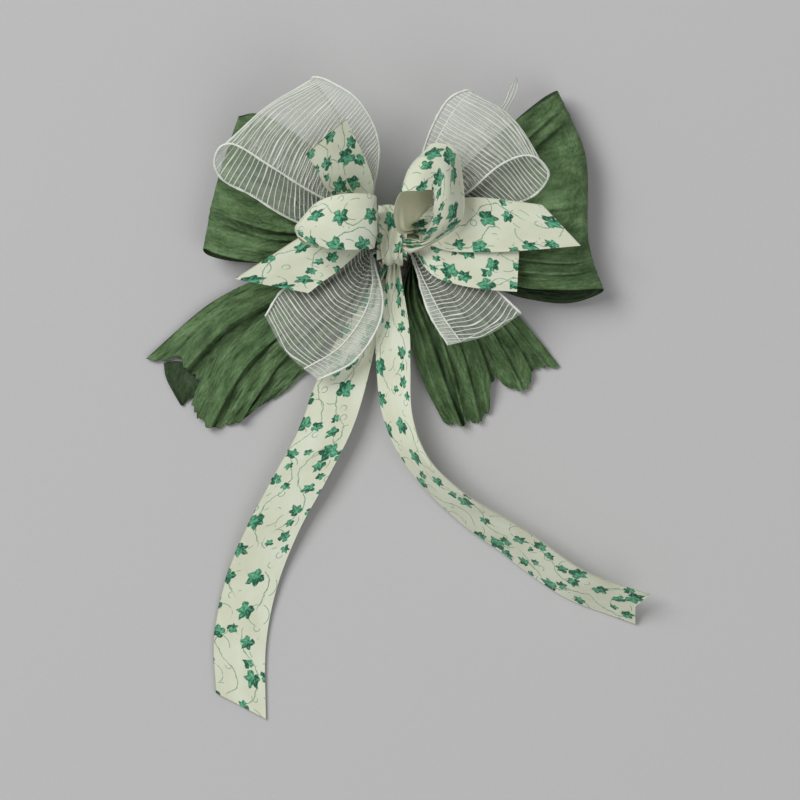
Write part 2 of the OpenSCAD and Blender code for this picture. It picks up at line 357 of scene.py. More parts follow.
def paper_nodes(s, shader, reverse):
    """Green twist paper: fine creases along the ribbon, crepe mottling, cloudy dye and a dull face."""
    place = flat_place(s)
    crease = s.noise(s.stretched(place, 0.045, 0.45), 1.0, 5, 0.6)
    crepe = s.noise(s.stretched(place, 0.50, 0.70), 1.0, 5, 0.65)
    cloud = s.noise(s.stretched(place, 0.07, 0.11), 1.0, 4, 0.6)
    dent = s.noise(s.stretched(place, 0.10, 0.16), 1.0, 3, 0.5)
    ridge = s.math("ABSOLUTE", s.math("SUBTRACT", dent, 0.5))
    tone = s.math("MULTIPLY_ADD", crease, 0.20, s.math("MULTIPLY", cloud, 0.56))
    tone = s.math("MULTIPLY_ADD", crepe, 0.24, tone)
    colour = s.mix(s.share(tone, 0.40, 0.50), rgb(58, 84, 48), rgb(84, 112, 70))
    colour = s.mix(s.share(tone, 0.50, 0.61), colour, rgb(112, 142, 98))
    # painted shade: deep folds of the paper are darkened towards dark green
    colour = s.mix(s.math("MULTIPLY", s.crevice_shade(0.0045, 0.3), 0.9), colour, rgb(28, 44, 22))
    # painted shade: the reverse face, seen in the loops' mouths and on the folded-under flap, is painted
    # darker
    if reverse:
        colour = s.mix(0.7, colour, rgb(24, 38, 20))
    s.put(shader.inputs["Base Color"], colour)
    s.put(shader.inputs["Roughness"], s.share(crepe, -0.2, 0.95))
    shader.inputs["Specular IOR Level"].default_value = 0.3
    height = s.math("MULTIPLY_ADD", crepe, 0.5, s.math("MULTIPLY", crease, 0.45))
    height = s.math("MULTIPLY_ADD", ridge, -2.6, height)
    s.put(shader.inputs["Normal"], s.bump(height, 1.0, 0.0016))


# outline of a leaf: share of a half turn from its tip, share of its length, and whether it is a corner
LEAF_OUTLINE = (
    (0, 1, True), (1, 0.10, True), (0.09, 0.75, False), (0.16, 0.58, True), (0.22, 0.72, False),
    (0.30, 0.90, True), (0.38, 0.68, False), (0.45, 0.54, True), (0.53, 0.64, False), (0.61, 0.72, True),
    (0.73, 0.56, False), (0.87, 0.44, False),
)


def leaf(s, place, centre, turn, size):
    """Ivy leaf with five lobes and a notch at its stalk: shares of inside, vein, rim and lighter half."""
    turned = s.turned(s.vector("SUBTRACT", place, centre), turn)
    parts = s.add("ShaderNodeSeparateXYZ", {"Vector": turned})
    x, y = s.math("MULTIPLY", parts.outputs["X"], 1.25), parts.outputs["Y"]
    square = s.math("MULTIPLY_ADD", x, x, s.math("MULTIPLY", y, y))
    distance = s.math("DIVIDE", s.math("SQRT", square), size)
    angle = s.math("ABSOLUTE", s.math("ARCTAN2", x, y))
    outline = s.curve(s.math("DIVIDE", angle, math.pi), LEAF_OUTLINE)
    depth = s.math("SUBTRACT", outline, distance)
    inside = s.share(depth, -0.02, 0.06)
    between = s.math("ABSOLUTE", s.math("SINE", s.math("MULTIPLY", angle, 3.27)))
    vein = s.fade(s.math("MULTIPLY", between, distance), 0.03, 0.13)
    rim = s.fade(depth, 0.02, 0.30)
    half = s.share(s.math("DIVIDE", x, size), -0.25, 0.25)
    return inside, vein, rim, half


def around_cell(s, centre, turn, dx, dy):
    """Point beside a sprig's centre, carried round with its turn."""
    offset = s.add("ShaderNodeCombineXYZ", {"X": dx, "Y": dy, "Z": 0.0})
    return s.vector("ADD", centre, s.turned(offset.outputs[0], turn))


def thin_ring(s, place, centre, radius, half_width):
    """Share of a thin ring round centre."""
    off = s.math("ABSOLUTE", s.math("SUBTRACT", s.vector("DISTANCE", place, centre), radius))
    return s.fade(off, half_width * 0.5, half_width * 1.5)


# place from the sprig's centre, extra turn, size and the least chance that shows the leaf
SPRIG = ((0, 0.8, 0, 6.4, 0), (4.1, -3.2, 2.3, 4.7, 0.50), (-4.2, -3.0, -2.2, 4.2, 0.66))
# level across the ribbon, reach, turns for each millimetre and shift of each vine
VINES = ((6.8, 4.2, 0.19, 0.4), (17.5, 4.6, 0.155, 2.6))


def ivy_print(s, place, ground):
    """Colour of cloth printed with scattered ivy sprigs: leaves in ones, twos and threes on thin vines."""
    flat = {"Vector": place, "Scale": 1 / 15.0, "Randomness": 0.45}
    cells = s.add("ShaderNodeTexVoronoi", flat, voronoi_dimensions="2D")
    centre = cells.outputs["Position"]
    chance = s.add("ShaderNodeSeparateColor", {"Color": cells.outputs["Color"]})
    one, two, three = (chance.outputs[k] for k in ("Red", "Green", "Blue"))
    turn = s.math("MULTIPLY", one, 2 * math.pi)
    blotch = s.noise(place, 0.7, 3, 0.6)
    green = s.mix(blotch, rgb(58, 112, 80), rgb(132, 172, 140))

    tremble = s.add("ShaderNodeTexNoise", {"Vector": place, "Scale": 0.45, "Detail": 2.0}).outputs["Color"]
    drawn = s.vector("MULTIPLY_ADD", tremble, (1.8, 1.8, 0), place)

    axes = s.add("ShaderNodeSeparateXYZ", {"Vector": drawn})
    wander = s.noise(s.stretched(place, 0.075, 0.02), 1.0, 2, 0.5)
    broken = s.share(s.noise(s.stretched(place, 0.05, 0.05), 1.0, 0, 0.5), 0.36, 0.40)
    lines = 0.0
    for level, reach, wave, shift in VINES:
        swing = s.math("SINE", s.math("MULTIPLY_ADD", axes.outputs["X"], wave, shift))
        middle = s.math("MULTIPLY_ADD", swing, reach, s.math("MULTIPLY_ADD", wander, 12.0, level - 6))
        gap = s.math("ABSOLUTE", s.math("SUBTRACT", axes.outputs["Y"], middle))
        line = s.fade(gap, 0.12, 0.38)
        lines = s.math("MAXIMUM", lines, s.math("MULTIPLY", line, broken))
    curl = around_cell(s, centre, turn, 2.8, -6.2)
    part = s.share(s.noise(s.stretched(place, 0.22, 0.22), 1.0, 0, 0.5), 0.45, 0.5)
    curls = thin_ring(s, place, curl, 1.4, 0.17)
    stalk = around_cell(s, centre, turn, -5.2, -0.6)
    curls = s.math("MAXIMUM", curls, thin_ring(s, place, stalk, 5.0, 0.18))
    lines = s.math("MAXIMUM", lines, s.math("MULTIPLY", curls, part))
    colour = s.mix(s.math("MULTIPLY", lines, 0.85), ground, green)

    for dx, dy, extra, size, least in SPRIG:
        spot = around_cell(s, centre, turn, dx, dy)
        scale = s.math("MULTIPLY", s.math("MULTIPLY_ADD", three, 0.50, 0.65), size)
        against = s.math("SUBTRACT", extra, turn)
        inside, vein, rim, half = leaf(s, drawn, spot, against, scale)
        shown = s.math("GREATER_THAN", two, least - 0.01)
        bright = s.share(s.math("MULTIPLY_ADD", half, 0.22, blotch), 0.50, 0.76)
        body = s.mix(bright, rgb(24, 88, 62), rgb(92, 170, 132))
        body = s.mix(s.math("MULTIPLY", vein, s.share(blotch, 0.35, 0.8)), body, rgb(150, 204, 172))
        body = s.mix(s.math("MULTIPLY", rim, s.share(blotch, 0.7, 0.35)), body, rgb(20, 74, 52))
        colour = s.mix(s.math("MULTIPLY", inside, shown), colour, body)
    return colour


def warp_and_weft(s, place, warp_pitch, weft_pitch):
    """Waves of the threads along the ribbon and across it, from their pitches in millimetres."""
    axes = s.add("ShaderNodeSeparateXYZ", {"Vector": place})
    warp = s.math("SINE", s.math("MULTIPLY", axes.outputs["Y"], 2 * math.pi / warp_pitch))
    weft = s.math("SINE", s.math("MULTIPLY", axes.outputs["X"], 2 * math.pi / weft_pitch))
    return warp, weft


def cotton_nodes(s, shader, printed):
    """Ivory cotton, printed or plain, with a plain weave, yellower slubs and painted brown shade in its
    folds.
    """
    place = flat_place(s)
    cloud = s.noise(s.stretched(place, 0.05, 0.07), 1.0, 3, 0.5)
    slub = s.noise(s.stretched(place, 0.25, 3.2), 1.0, 2, 0.5)
    ground = s.mix(s.share(cloud, 0.35, 0.65), rgb(208, 211, 187), rgb(216, 222, 203))
    ground = s.mix(s.math("MULTIPLY", s.share(slub, 0.5, 0.8), 0.3), ground, rgb(200, 199, 172))
    if not printed:
        ground = s.mix(0.5, ground, rgb(196, 192, 152))
    # painted shade: folds of the cotton are darkened towards brown
    ground = s.mix(s.math("MULTIPLY", s.crevice_shade(0.005, 0.3), 0.7), ground, rgb(150, 136, 92))
    colour = ivy_print(s, place, ground) if printed else ground
    s.put(shader.inputs["Base Color"], colour)
    shader.inputs["Roughness"].default_value = 0.85
    shader.inputs["Specular IOR Level"].default_value = 0.2
    shader.inputs["Sheen Weight"].default_value = 0.15
    shader.inputs["Sheen Roughness"].default_value = 0.5
    weave = s.math("MULTIPLY", *warp_and_weft(s, place, 0.55, 0.55))
    height = s.math("MULTIPLY_ADD", slub, 0.8, weave)
    s.put(shader.inputs["Normal"], s.bump(height, 0.35, 0.00012))


def gauze_nodes(s, shader, layers):
    """Open gauze: fine threads both ways, with light between them, in that many layers."""
    place = flat_place(s)
    thread = s.math("MAXIMUM", *warp_and_weft(s, place, 0.6, 0.75))
    cloud = s.noise(s.stretched(place, 0.12, 0.3), 1.0, 3, 0.6)
    cover = s.math("MULTIPLY_ADD", s.share(thread, -0.2, 1.0), 0.24, 0.08)
    cover = s.math("ADD", cover, s.math("MULTIPLY", s.share(cloud, 0.4, 0.7), 0.10))
    s.put(shader.inputs["Alpha"], s.math("MULTIPLY", cover, layers))
    s.put(shader.inputs["Base Color"], s.mix(cloud, rgb(196, 203, 190), rgb(226, 230, 220)))
    shader.inputs["Roughness"].default_value = 0.7
    shader.inputs["Specular IOR Level"].default_value = 0.25
    s.put(shader.inputs["Normal"], s.bump(thread, 0.3, 0.0001))


def cord_nodes(s, shader):
    """White cotton cord with a twist along it."""
    place = flat_place(s)
    twist = s.noise(s.stretched(place, 1.4, 2.5), 1.0, 2, 0.5)
    s.put(shader.inputs["Base Color"], s.mix(twist, rgb(206, 212, 200), rgb(236, 239, 230)))
    shader.inputs["Roughness"].default_value = 0.6
    shader.inputs["Sheen Weight"].default_value = 0.2
    s.put(shader.inputs["Normal"], s.bump(twist, 0.5, 0.0002))


def wire_nodes(s, shader):
    """Wire covered in brown twisted paper."""
    place = flat_place(s)
    wrap = s.noise(s.stretched(place, 2.2, 1.4), 1.0, 3, 0.55)
    s.put(shader.inputs["Base Color"], s.mix(wrap, rgb(70, 54, 42), rgb(118, 98, 78)))
    s.put(shader.inputs["Roughness"], s.share(wrap, -0.6, 1.2))
    s.put(shader.inputs["Normal"], s.bump(wrap, 0.6, 0.0002))


def floor_nodes(s, shader):
    """Plain pale studio paper."""
    where = s.add("ShaderNodeTexCoord").outputs["Object"]
    grain = s.noise(where, 900.0, 2, 0.5)
    s.put(shader.inputs["Base Color"], s.mix(grain, rgb(182, 182, 182), rgb(187, 187, 187)))
    shader.inputs["Roughness"].default_value = 0.95


PAPER = material("green_paper", paper_nodes, False)
# paper painted darker as shade, for reverse faces and rims
PAPER_SHADED_BACK = material("green_paper_shaded_back", paper_nodes, True)
PRINTED = material("printed_cotton", cotton_nodes, True)
PLAIN = material("plain_cotton", cotton_nodes, False)
SHEER = material("sheer_gauze", gauze_nodes, 1.0)
FOLDED = material("folded_gauze", gauze_nodes, 1.9)
CORD = material("white_cord", cord_nodes)
WIRE = material("brown_wire", wire_nodes)
FLOOR = material("studio_floor", floor_nodes)


# ---------------------------------------------------------------- ribbons


def facing(grid, loop):
    """Directions out of the ribbon's good face, which looks up on the front layer."""
    up = normals(grid)
    seen = up[len(up) * 2 // 3 :] if loop else up
    return -up if np.mean(seen[..., 2]) < 0 else up


def place_uvs(grid, width, start):
    """Place of each point on the flat ribbon, in metres, along it from start and across it."""
    run = middle_run(grid) + start
    across = np.linspace(0, width, grid.shape[1])
    return np.stack(np.broadcast_arrays(run[:, None], across[None, :]), axis=2)


def from_knot(grid, loop):
    """Length along the ribbon from the nearer end that goes into the knot, for each row."""
    run = middle_run(grid)
    return np.minimum(run, run[-1] - run) if loop else run


def into_knot(rails, loop):
    """Rails carried on at their inner ends, squeezed together, to end inside the knot."""
    rails = np.asarray(rails, float)

    def inner(ends):
        hidden = ends.copy()
        if abs(ends[:, 0]).min() > SIDE_ROOT:
            hidden[:, 0] *= 0.5
            hidden[:, 1] = KNOT_Y + (ends[:, 1] - KNOT_Y) * 0.82
            hidden[:, 2] = KNOT_Z + (ends[:, 2] - KNOT_Z) * 0.92
        else:
            hidden[:, 1] += 0.005
        return hidden[:, None]

    whole = [inner(rails[:, 0]), rails]
    if loop:
        whole.append(inner(rails[:, -1]))
    return np.concatenate(whole, axis=1)


def pleated(grid, distance, width, look, seed):
    """How far each point stands out of the surface, in pleats that take up the ribbon's spare width.

    look gives the number of pleats, their greatest height at the knot and far from it, the distance
    over which they open out, and how far they lean over."""
    count, at_knot, far, reach, lean = look
    columns = grid.shape[1]
    chord = np.linalg.norm(np.diff(grid, axis=1), axis=2).sum(axis=1)
    spare = np.sqrt(np.maximum((width / chord) ** 2 - 1, 0))
    most = far + (at_knot - far) * (1 - rise(distance, 0, reach))
    height = np.minimum(chord / count * spare / 2, most)[:, None]
    run = middle_run(grid)[:, None] / MM
    across = np.linspace(0, 1, columns)[None, :]
    turn = across * count + noise(run / 45, across * 3 + 7, seed) * 0.7 + seed * 0.37
    part = turn - np.floor(turn)
    peak = 0.5 + lean / 2
    slope = np.where(part < peak, part / peak, (1 - part) / (1 - peak))
    own = np.random.default_rng(seed).uniform(0.55, 1, 64)[np.floor(turn).astype(int) % 64]
    return height * (rise(slope, -0.15, 1.15) * own - 0.25)


def lapped(grid, distance, folds, seed):
    """Folds where one part of the paper laps over the next: a slow rise and a sudden drop.

    Each fold gives its place across at the knot and far from it, its height, and its width,
    which is negative where the drop faces back across the ribbon."""
    run = middle_run(grid)[:, None]
    share = (distance / distance.max())[:, None]
    across = np.linspace(0, 1, grid.shape[1])[None, :]
    total = np.zeros(grid.shape[:2])
    for number, (near, far, height, width) in enumerate(folds):
        sway = noise(run / 0.03, run * 0 + number, seed) * 0.012
        off = (across - (near + (far - near) * share + sway)) * math.copysign(1, width)
        climb = np.clip(1 + off / abs(width), 0, 1) ** 2
        drop = 1 - rise(off, 0, 0.009)
        fade = 0.75 + 0.25 * noise(run / 0.02, run * 0 + number, seed + 1)
        total += height * climb * drop * fade
    return total


def crinkled(grid, seed):
    """Creases of twist paper that has been opened out: long, thin and running along the ribbon."""
    run = middle_run(grid)[:, None] / MM
    across = np.linspace(0, 1, grid.shape[1])[None, :] * PAPER_WIDTH / MM
    bent = across + noise(run / 22, across / 15, seed + 4) * 2.5
    long_creases = 1 - 2 * np.abs(noise(run / 45, bent / 5.5, seed))
    short_creases = noise(run / 12, bent / 1.7, seed + 1)
    dents = 1 - 2 * np.abs(noise((run + across * 0.8) / 11, (across - run * 0.35) / 9, seed + 3))
    waves = noise(run / 30, across / 16, seed + 2)
    return (long_creases * 0.26 + short_creases * 0.20 + dents * 0.62 + waves * 1.3) * MM


def trimmed(grid, profile, ragged):
    """The grid with its free end cut back by the profile: pairs of place across and length off.

    ragged is the most that the cut wanders beyond the profile."""
    rows, columns = grid.shape[:2]
    place, off = np.array(profile).T
    across = np.linspace(0, 1, columns)
    cut = np.interp(across, place, off) + ragged * np.abs(noise(across * 31, across * 0, 9))
    length = middle_run(grid)[-1]
    out = np.empty_like(grid)
    for j in range(columns):
        at = np.arange(rows) * (1 - cut[j] / length)
        for k in range(3):
            out[:, j, k] = np.interp(at, np.arange(rows), grid[:, j, k])
    return out


def bend_at_knot(obj, root):
    """Bakes the piece's placing into its mesh, the same way whether its root is out at the side or not."""
    x, y = root[0], root[1]
    if abs(x) > SIDE_ROOT:
        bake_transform(obj)
    else:
        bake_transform(obj)


# cell along, columns across, and pleats as the function pleated takes them
PAPER_LOOK = {"cell": 0.0011, "across": 160, "pleats": (13, 0.0060, 0.0003, 0.060, 0.5)}
SHEER_LOOK = {"cell": 0.0015, "across": 36, "pleats": (8, 0.0040, 0.0006, 0.050, 0.1)}
COTTON_LOOK = {"cell": 0.0009, "across": 40, "pleats": (3, 0.0020, 0.0001, 0.024, 0.0)}

# distance between the thick threads of the sheer ribbon, and how far each ribbon's threads lean and sag
THREAD_PITCH = 0.0022
THREAD_DRIFT = {
    "sheer_loop_left": (0.026, 0.001),
    "sheer_loop_right": (-0.014, -0.002),
    "sheer_tail_left": (0.0, 0.001),
    "sheer_tail_right": (0.0, 0.0025),
}

# first column, and the one after the last, of the strip turned over along an edge of the sheer ribbon
TURNED_EDGES = {"sheer_tail_left": (29, 37), "sheer_tail_right": (0, 7)}

# place across at the knot and at the far end, height and width across of each lapped fold
FOLDS = {
    "paper_loop_left": [
        (0.20, 0.28, 0.0046, -0.12), (0.11, 0.22, 0.0030, -0.06), (0.52, 0.62, 0.0020, -0.10),
        (0.80, 0.78, 0.0020, -0.10),
    ],
    "paper_loop_right": [
        (0.14, 0.13, 0.0030, -0.06), (0.25, 0.21, 0.0042, -0.09), (0.44, 0.50, 0.0022, -0.10),
        (0.66, 0.86, 0.0050, -0.09), (0.74, 0.93, 0.0030, -0.05),
    ],
    "paper_tail_left": [(0.30, 0.20, 0.0066, 0.14), (0.56, 0.52, 0.0040, 0.10), (0.76, 0.75, 0.0030, 0.07)],
    "paper_tail_right": [
        (0.20, 0.17, 0.0056, 0.12), (0.28, 0.25, 0.0036, 0.06), (0.42, 0.40, 0.0024, 0.08),
        (0.57, 0.56, 0.0060, 0.10), (0.70, 0.74, 0.0038, 0.06), (0.79, 0.85, 0.0030, 0.05),
        (0.86, 0.93, 0.0024, 0.05),
    ],
}

# The end that stands up is sheer ribbon folded narrow, and is declared as a strip of this width, not
# the ribbon's own. Its pleats and flat places are set from this width, not the ribbon's own.
SHEER_END_PLEATED = 0.0112
SHEER_END_LOOK = {"pleats": (3, 0.0040, 0.0030, 0.09, 0.2)}

CUT_ENDS = {
    "paper_tail_left": [
        (0, 0), (0.06, 0.005), (0.13, 0.011), (0.30, 0.0135), (0.33, 0.005), (0.40, 0.002),
        (0.50, 0), (0.62, 0.001), (0.72, 0), (0.80, 0.001), (0.84, 0.005), (0.92, 0.003), (1, 0.004),
    ],
    "paper_tail_right": [
        (0, 0.001), (0.20, -0.001), (0.27, 0.0015), (0.36, 0), (0.46, 0.001), (0.50, 0.004),
        (0.55, 0.014), (0.60, 0.016), (0.64, 0.011), (0.68, 0.007), (0.74, 0.003), (0.79, 0.001),
        (0.81, 0.003), (0.84, 0.009), (0.88, 0.008), (0.94, 0.005), (1, 0),
    ],
    "long_tail_right": [(0, 0), (0.5, 0.0035), (1, 0)],
}

RAILS = {
    "paper_loop_left": [
        [(-0.0095, -0.005, 0.006), (-0.03, -0.01, 0.0054), (-0.054, -0.014, 0.0048),
         (-0.073, -0.0135, 0.0048), (-0.084, -0.011, 0.009), (-0.086, -0.008, 0.016),
         (-0.077, -0.0115, 0.0215), (-0.057, -0.0145, 0.020), (-0.03, -0.01, 0.016),
         (-0.0095, -0.004, 0.011)],
        [(-0.0095, 0, 0.006), (-0.03, 0.009, 0.003), (-0.054, 0.017, 0.0018), (-0.07, 0.021, 0.003),
         (-0.078, 0.023, 0.009), (-0.079, 0.023, 0.016), (-0.07, 0.021, 0.022),
         (-0.053, 0.016, 0.0215), (-0.03, 0.009, 0.0165), (-0.0095, 0.001, 0.011)],
        [(-0.0095, 0.005, 0.006), (-0.027, 0.03, 0.003), (-0.046, 0.046, 0.002),
         (-0.061, 0.054, 0.003), (-0.069, 0.053, 0.009), (-0.069, 0.052, 0.016),
         (-0.061, 0.053, 0.021), (-0.045, 0.045, 0.0205), (-0.027, 0.029, 0.016),
         (-0.0095, 0.006, 0.011)],
    ],
    "paper_loop_right": [
        [(0.0095, -0.005, 0.006), (0.03, -0.017, 0.0086), (0.055, -0.029, 0.0074),
         (0.078, -0.033, 0.0060), (0.092, -0.03, 0.009), (0.096, -0.0265, 0.016),
         (0.079, -0.027, 0.02), (0.056, -0.025, 0.019), (0.03, -0.014, 0.015), (0.0095, -0.005, 0.011)],
        [(0.0095, -0.0015, 0.006), (0.03, -0.004, 0.004), (0.056, -0.007, 0.0025),
         (0.079, -0.008, 0.003), (0.088, -0.006, 0.009), (0.0895, -0.005, 0.016),
         (0.079, -0.007, 0.0215), (0.056, -0.006, 0.0205), (0.03, -0.003, 0.016),
         (0.0095, -0.0015, 0.011)],
        [(0.0095, 0.002, 0.006), (0.03, 0.012, 0.003), (0.055, 0.023, 0.0018), (0.076, 0.032, 0.003),
         (0.0865, 0.035, 0.009), (0.0875, 0.034, 0.016), (0.077, 0.031, 0.022), (0.055, 0.022, 0.0215),
         (0.03, 0.012, 0.0165), (0.0095, 0.0025, 0.011)],
        [(0.0095, 0.005, 0.006), (0.03, 0.025, 0.003), (0.051, 0.046, 0.002), (0.066, 0.059, 0.003),
         (0.074, 0.064, 0.009), (0.075, 0.063, 0.016), (0.066, 0.057, 0.021), (0.05, 0.045, 0.0205),
         (0.03, 0.026, 0.016), (0.0095, 0.006, 0.011)],
    ],
    "paper_tail_left": [
        [(-0.0095, -0.006, 0.004), (-0.03, -0.013, 0.0032), (-0.059, -0.021, 0.0024),
         (-0.085, -0.034, 0.002), (-0.115, -0.06, 0.0015)],
        [(-0.0097, -0.01, 0.004), (-0.028, -0.028, 0.006), (-0.05, -0.044, 0.0055),
         (-0.07, -0.063, 0.004), (-0.085, -0.091, 0.0016)],
        [(-0.0095, -0.014, 0.004), (-0.017, -0.03, 0.0045), (-0.027, -0.046, 0.004),
         (-0.038, -0.062, 0.003), (-0.054, -0.078, 0.0016)],
    ],
    "paper_tail_right": [
        [(0.0085, -0.014, 0.004), (0.0045, -0.031, 0.0045), (0.0085, -0.05, 0.0045),
         (0.015, -0.07, 0.003), (0.025, -0.09, 0.0016)],
        [(0.0097, -0.01, 0.004), (0.022, -0.028, 0.0063), (0.033, -0.045, 0.0055),
         (0.04, -0.062, 0.004), (0.046, -0.086, 0.0016)],
        [(0.0095, -0.006, 0.004), (0.031, -0.018, 0.0024), (0.052, -0.033, 0.0020),
         (0.066, -0.048, 0.002), (0.078, -0.063, 0.0015)],
    ],
    "sheer_loop_left": [
        [(-0.0095, 0.002, 0.0165), (-0.028, 0, 0.021), (-0.046, 0.005, 0.025), (-0.064, 0.016, 0.028),
         (-0.077, 0.023, 0.032), (-0.08, 0.032, 0.037), (-0.073, 0.039, 0.042), (-0.055, 0.029, 0.04),
         (-0.034, 0.016, 0.031), (-0.0095, 0.005, 0.0195)],
        [(-0.0097, 0.004, 0.0165), (-0.022, 0.011, 0.0205), (-0.034, 0.021, 0.024),
         (-0.047, 0.034, 0.027), (-0.058, 0.046, 0.031), (-0.061, 0.052, 0.038),
         (-0.053, 0.055, 0.0445), (-0.036, 0.046, 0.045), (-0.02, 0.029, 0.0335),
         (-0.0097, 0.008, 0.0195)],
        [(-0.0095, 0.007, 0.0165), (-0.014, 0.022, 0.0205), (-0.019, 0.038, 0.024),
         (-0.025, 0.053, 0.028), (-0.033, 0.0645, 0.033), (-0.036, 0.069, 0.038),
         (-0.028, 0.067, 0.043), (-0.014, 0.057, 0.043), (-0.006, 0.038, 0.033),
         (-0.0095, 0.011, 0.0195)],
    ],
    "sheer_loop_right": [
        [(0.0095, 0.001, 0.0165), (0.026, 0.003, 0.0225), (0.042, 0.008, 0.026),
         (0.056, 0.012, 0.0275), (0.066, 0.017, 0.03), (0.071, 0.026, 0.036), (0.063, 0.0335, 0.041),
         (0.05, 0.03, 0.038), (0.032, 0.016, 0.027), (0.0095, 0.005, 0.0195)],
        [(0.0097, 0.003, 0.0165), (0.021, 0.014, 0.0225), (0.031, 0.024, 0.026), (0.042, 0.035, 0.027),
         (0.051, 0.043, 0.031), (0.056, 0.049, 0.037), (0.05, 0.052, 0.042), (0.038, 0.042, 0.042),
         (0.023, 0.027, 0.031), (0.0097, 0.008, 0.0195)],
        [(0.0095, 0.006, 0.0165), (0.013, 0.022, 0.0205), (0.018, 0.036, 0.024), (0.025, 0.049, 0.028),
         (0.032, 0.059, 0.033), (0.037, 0.062, 0.038), (0.033, 0.063, 0.042), (0.024, 0.057, 0.042),
         (0.015, 0.038, 0.033), (0.0095, 0.011, 0.0195)],
    ],
    "sheer_tail_left": [
        [(-0.0095, -0.004, 0.014), (-0.022, -0.013, 0.0175), (-0.038, -0.021, 0.019),
         (-0.05, -0.027, 0.019), (-0.058, -0.039, 0.018)],
        [(-0.0097, -0.008, 0.014), (-0.015, -0.023, 0.0195), (-0.025, -0.035, 0.022),
         (-0.036, -0.045, 0.022), (-0.049, -0.055, 0.019)],
        [(-0.0095, -0.012, 0.014), (-0.005, -0.026, 0.019), (-0.006, -0.042, 0.019),
         (-0.017, -0.059, 0.019), (-0.034, -0.068, 0.018)],
    ],
    "sheer_tail_right": [
        [(0.0095, -0.012, 0.014), (0.013, -0.025, 0.0185), (0.018, -0.039, 0.019),
         (0.026, -0.052, 0.018)],
        [(0.0097, -0.008, 0.014), (0.02, -0.021, 0.02), (0.031, -0.034, 0.0225), (0.043, -0.048, 0.021)],
        [(0.0095, -0.004, 0.014), (0.027, -0.012, 0.0195), (0.043, -0.023, 0.0235),
         (0.059, -0.038, 0.0235)],
    ],
    "sheer_end": [
        [(0.0095, 0.007, 0.014), (0.028, 0.031, 0.0210), (0.042, 0.048, 0.0240), (0.05, 0.057, 0.025),
         (0.053, 0.064, 0.026), (0.056, 0.07, 0.027)],
        [(0.0098, 0.005, 0.014), (0.0305, 0.028, 0.0210), (0.045, 0.045, 0.0240),
         (0.0535, 0.056, 0.025), (0.0576, 0.0645, 0.026), (0.057, 0.07, 0.027)],
    ],
    "cotton_loop_left": [
        [(-0.0095, -0.004, 0.027), (-0.02, -0.008, 0.031), (-0.032, -0.008, 0.035),
         (-0.04, -0.006, 0.039), (-0.0425, -0.003, 0.044), (-0.038, -0.006, 0.049),
         (-0.028, -0.009, 0.051), (-0.017, -0.0093, 0.05), (-0.0085, -0.0088, 0.0445),
         (-0.0079, -0.0065, 0.038), (-0.0095, -0.004, 0.032)],
        [(-0.0097, 0, 0.027), (-0.02, 0.002, 0.031), (-0.032, 0.003, 0.035), (-0.041, 0.002, 0.039),
         (-0.0435, 0.001, 0.044), (-0.04, 0.003, 0.05), (-0.029, 0.004, 0.053),
         (-0.017, 0.004, 0.0525), (-0.0076, 0.0035, 0.047), (-0.0072, 0.003, 0.039),
         (-0.0097, 0.0015, 0.032)],
        [(-0.0095, 0.004, 0.027), (-0.017, 0.012, 0.031), (-0.027, 0.014, 0.035),
         (-0.035, 0.011, 0.039), (-0.0395, 0.006, 0.044), (-0.034, 0.012, 0.049),
         (-0.025, 0.0155, 0.051), (-0.015, 0.0163, 0.05), (-0.0077, 0.0153, 0.0445),
         (-0.0078, 0.011, 0.038), (-0.0095, 0.007, 0.032)],
    ],
    "cotton_loop_right": [
        [(0.0097, -0.001, 0.0312), (0.0032, -0.0015, 0.039), (0.0008, 0.0064, 0.044),
         (0.002, 0.013, 0.0485), (0.0049, 0.0167, 0.0515), (0.012, 0.0172, 0.0535),
         (0.0187, 0.017, 0.052), (0.0185, 0.008, 0.049), (0.016, 0, 0.043), (0.0135, -0.004, 0.037),
         (0.0095, -0.004, 0.0325)],
        [(0.01, 0.0025, 0.0296), (0.0086, 0.0025, 0.035), (0.009, 0.009, 0.0375),
         (0.0085, 0.019, 0.042), (0.008, 0.028, 0.0485), (0.0145, 0.0295, 0.0555),
         (0.024, 0.027, 0.054), (0.026, 0.014, 0.05), (0.0245, 0.0025, 0.0445),
         (0.0175, -0.0045, 0.0365), (0.0096, -0.007, 0.032)],
        [(0.0098, 0.006, 0.0278), (0.014, 0.007, 0.031), (0.018, 0.012, 0.0325),
         (0.0185, 0.024, 0.036), (0.016, 0.0355, 0.041), (0.019, 0.039, 0.0465), (0.029, 0.036, 0.046),
         (0.0324, 0.02, 0.043), (0.0315, 0.0045, 0.039), (0.0215, -0.0045, 0.0345),
         (0.0095, -0.01, 0.0315)],
    ],
    "cotton_tail_upper_left": [
        [(-0.0095, 0.006, 0.0245), (-0.02, 0.012, 0.03), (-0.03, 0.019, 0.037), (-0.034, 0.027, 0.043),
         (-0.039, 0.034, 0.048)],
        [(-0.0096, 0.008, 0.0248), (-0.0155, 0.017, 0.032), (-0.022, 0.026, 0.0405),
         (-0.026, 0.035, 0.047), (-0.029, 0.043, 0.052)],
        [(-0.0095, 0.0105, 0.0245), (-0.0085, 0.021, 0.0305), (-0.0115, 0.031, 0.038),
         (-0.0165, 0.041, 0.0455), (-0.021, 0.05, 0.051)],
    ],
    "cotton_tail_left": [
        [(-0.0095, 0.003, 0.0225), (-0.024, 0.005, 0.027), (-0.04, -0.002, 0.029),
         (-0.056, -0.012, 0.028), (-0.072, -0.022, 0.026)],
        [(-0.0095, -0.005, 0.0225), (-0.016, -0.011, 0.0255), (-0.024, -0.018, 0.027),
         (-0.031, -0.023, 0.027), (-0.038, -0.0285, 0.026)],
    ],
